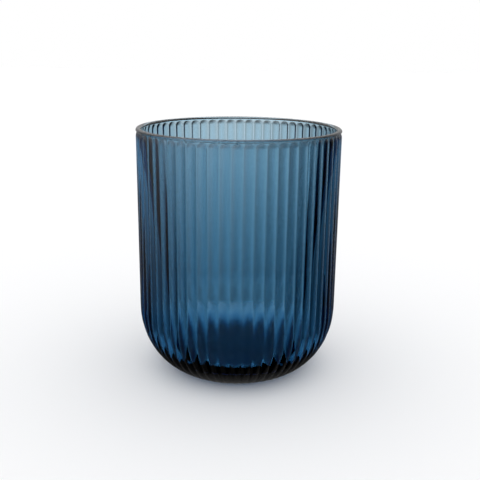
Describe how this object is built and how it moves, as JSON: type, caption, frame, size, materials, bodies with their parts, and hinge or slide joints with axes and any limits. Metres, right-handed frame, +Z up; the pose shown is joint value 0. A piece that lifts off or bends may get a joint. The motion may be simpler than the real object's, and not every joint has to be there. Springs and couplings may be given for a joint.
{
  "type": "ribbed glass vase",
  "caption": "Wide-mouthed vase in one piece of blue pressed glass, with upright ribs, a rounded bottom and a plain rounded lip.",
  "frame": {"origin": "centre of the flat foot, on the surface that the vase stands on", "axes": "+Z up along the vase's axis, out of its mouth; X and Y are alike, with a groove between two ribs on +X"},
  "size_m": [0.082, 0.082, 0.1],
  "materials": {
    "blue_glass": "clear blue, fire-polished"
  },
  "bodies": {
    "root": {"glass_vessel": "blue_glass"}
  },
  "joints": []
}
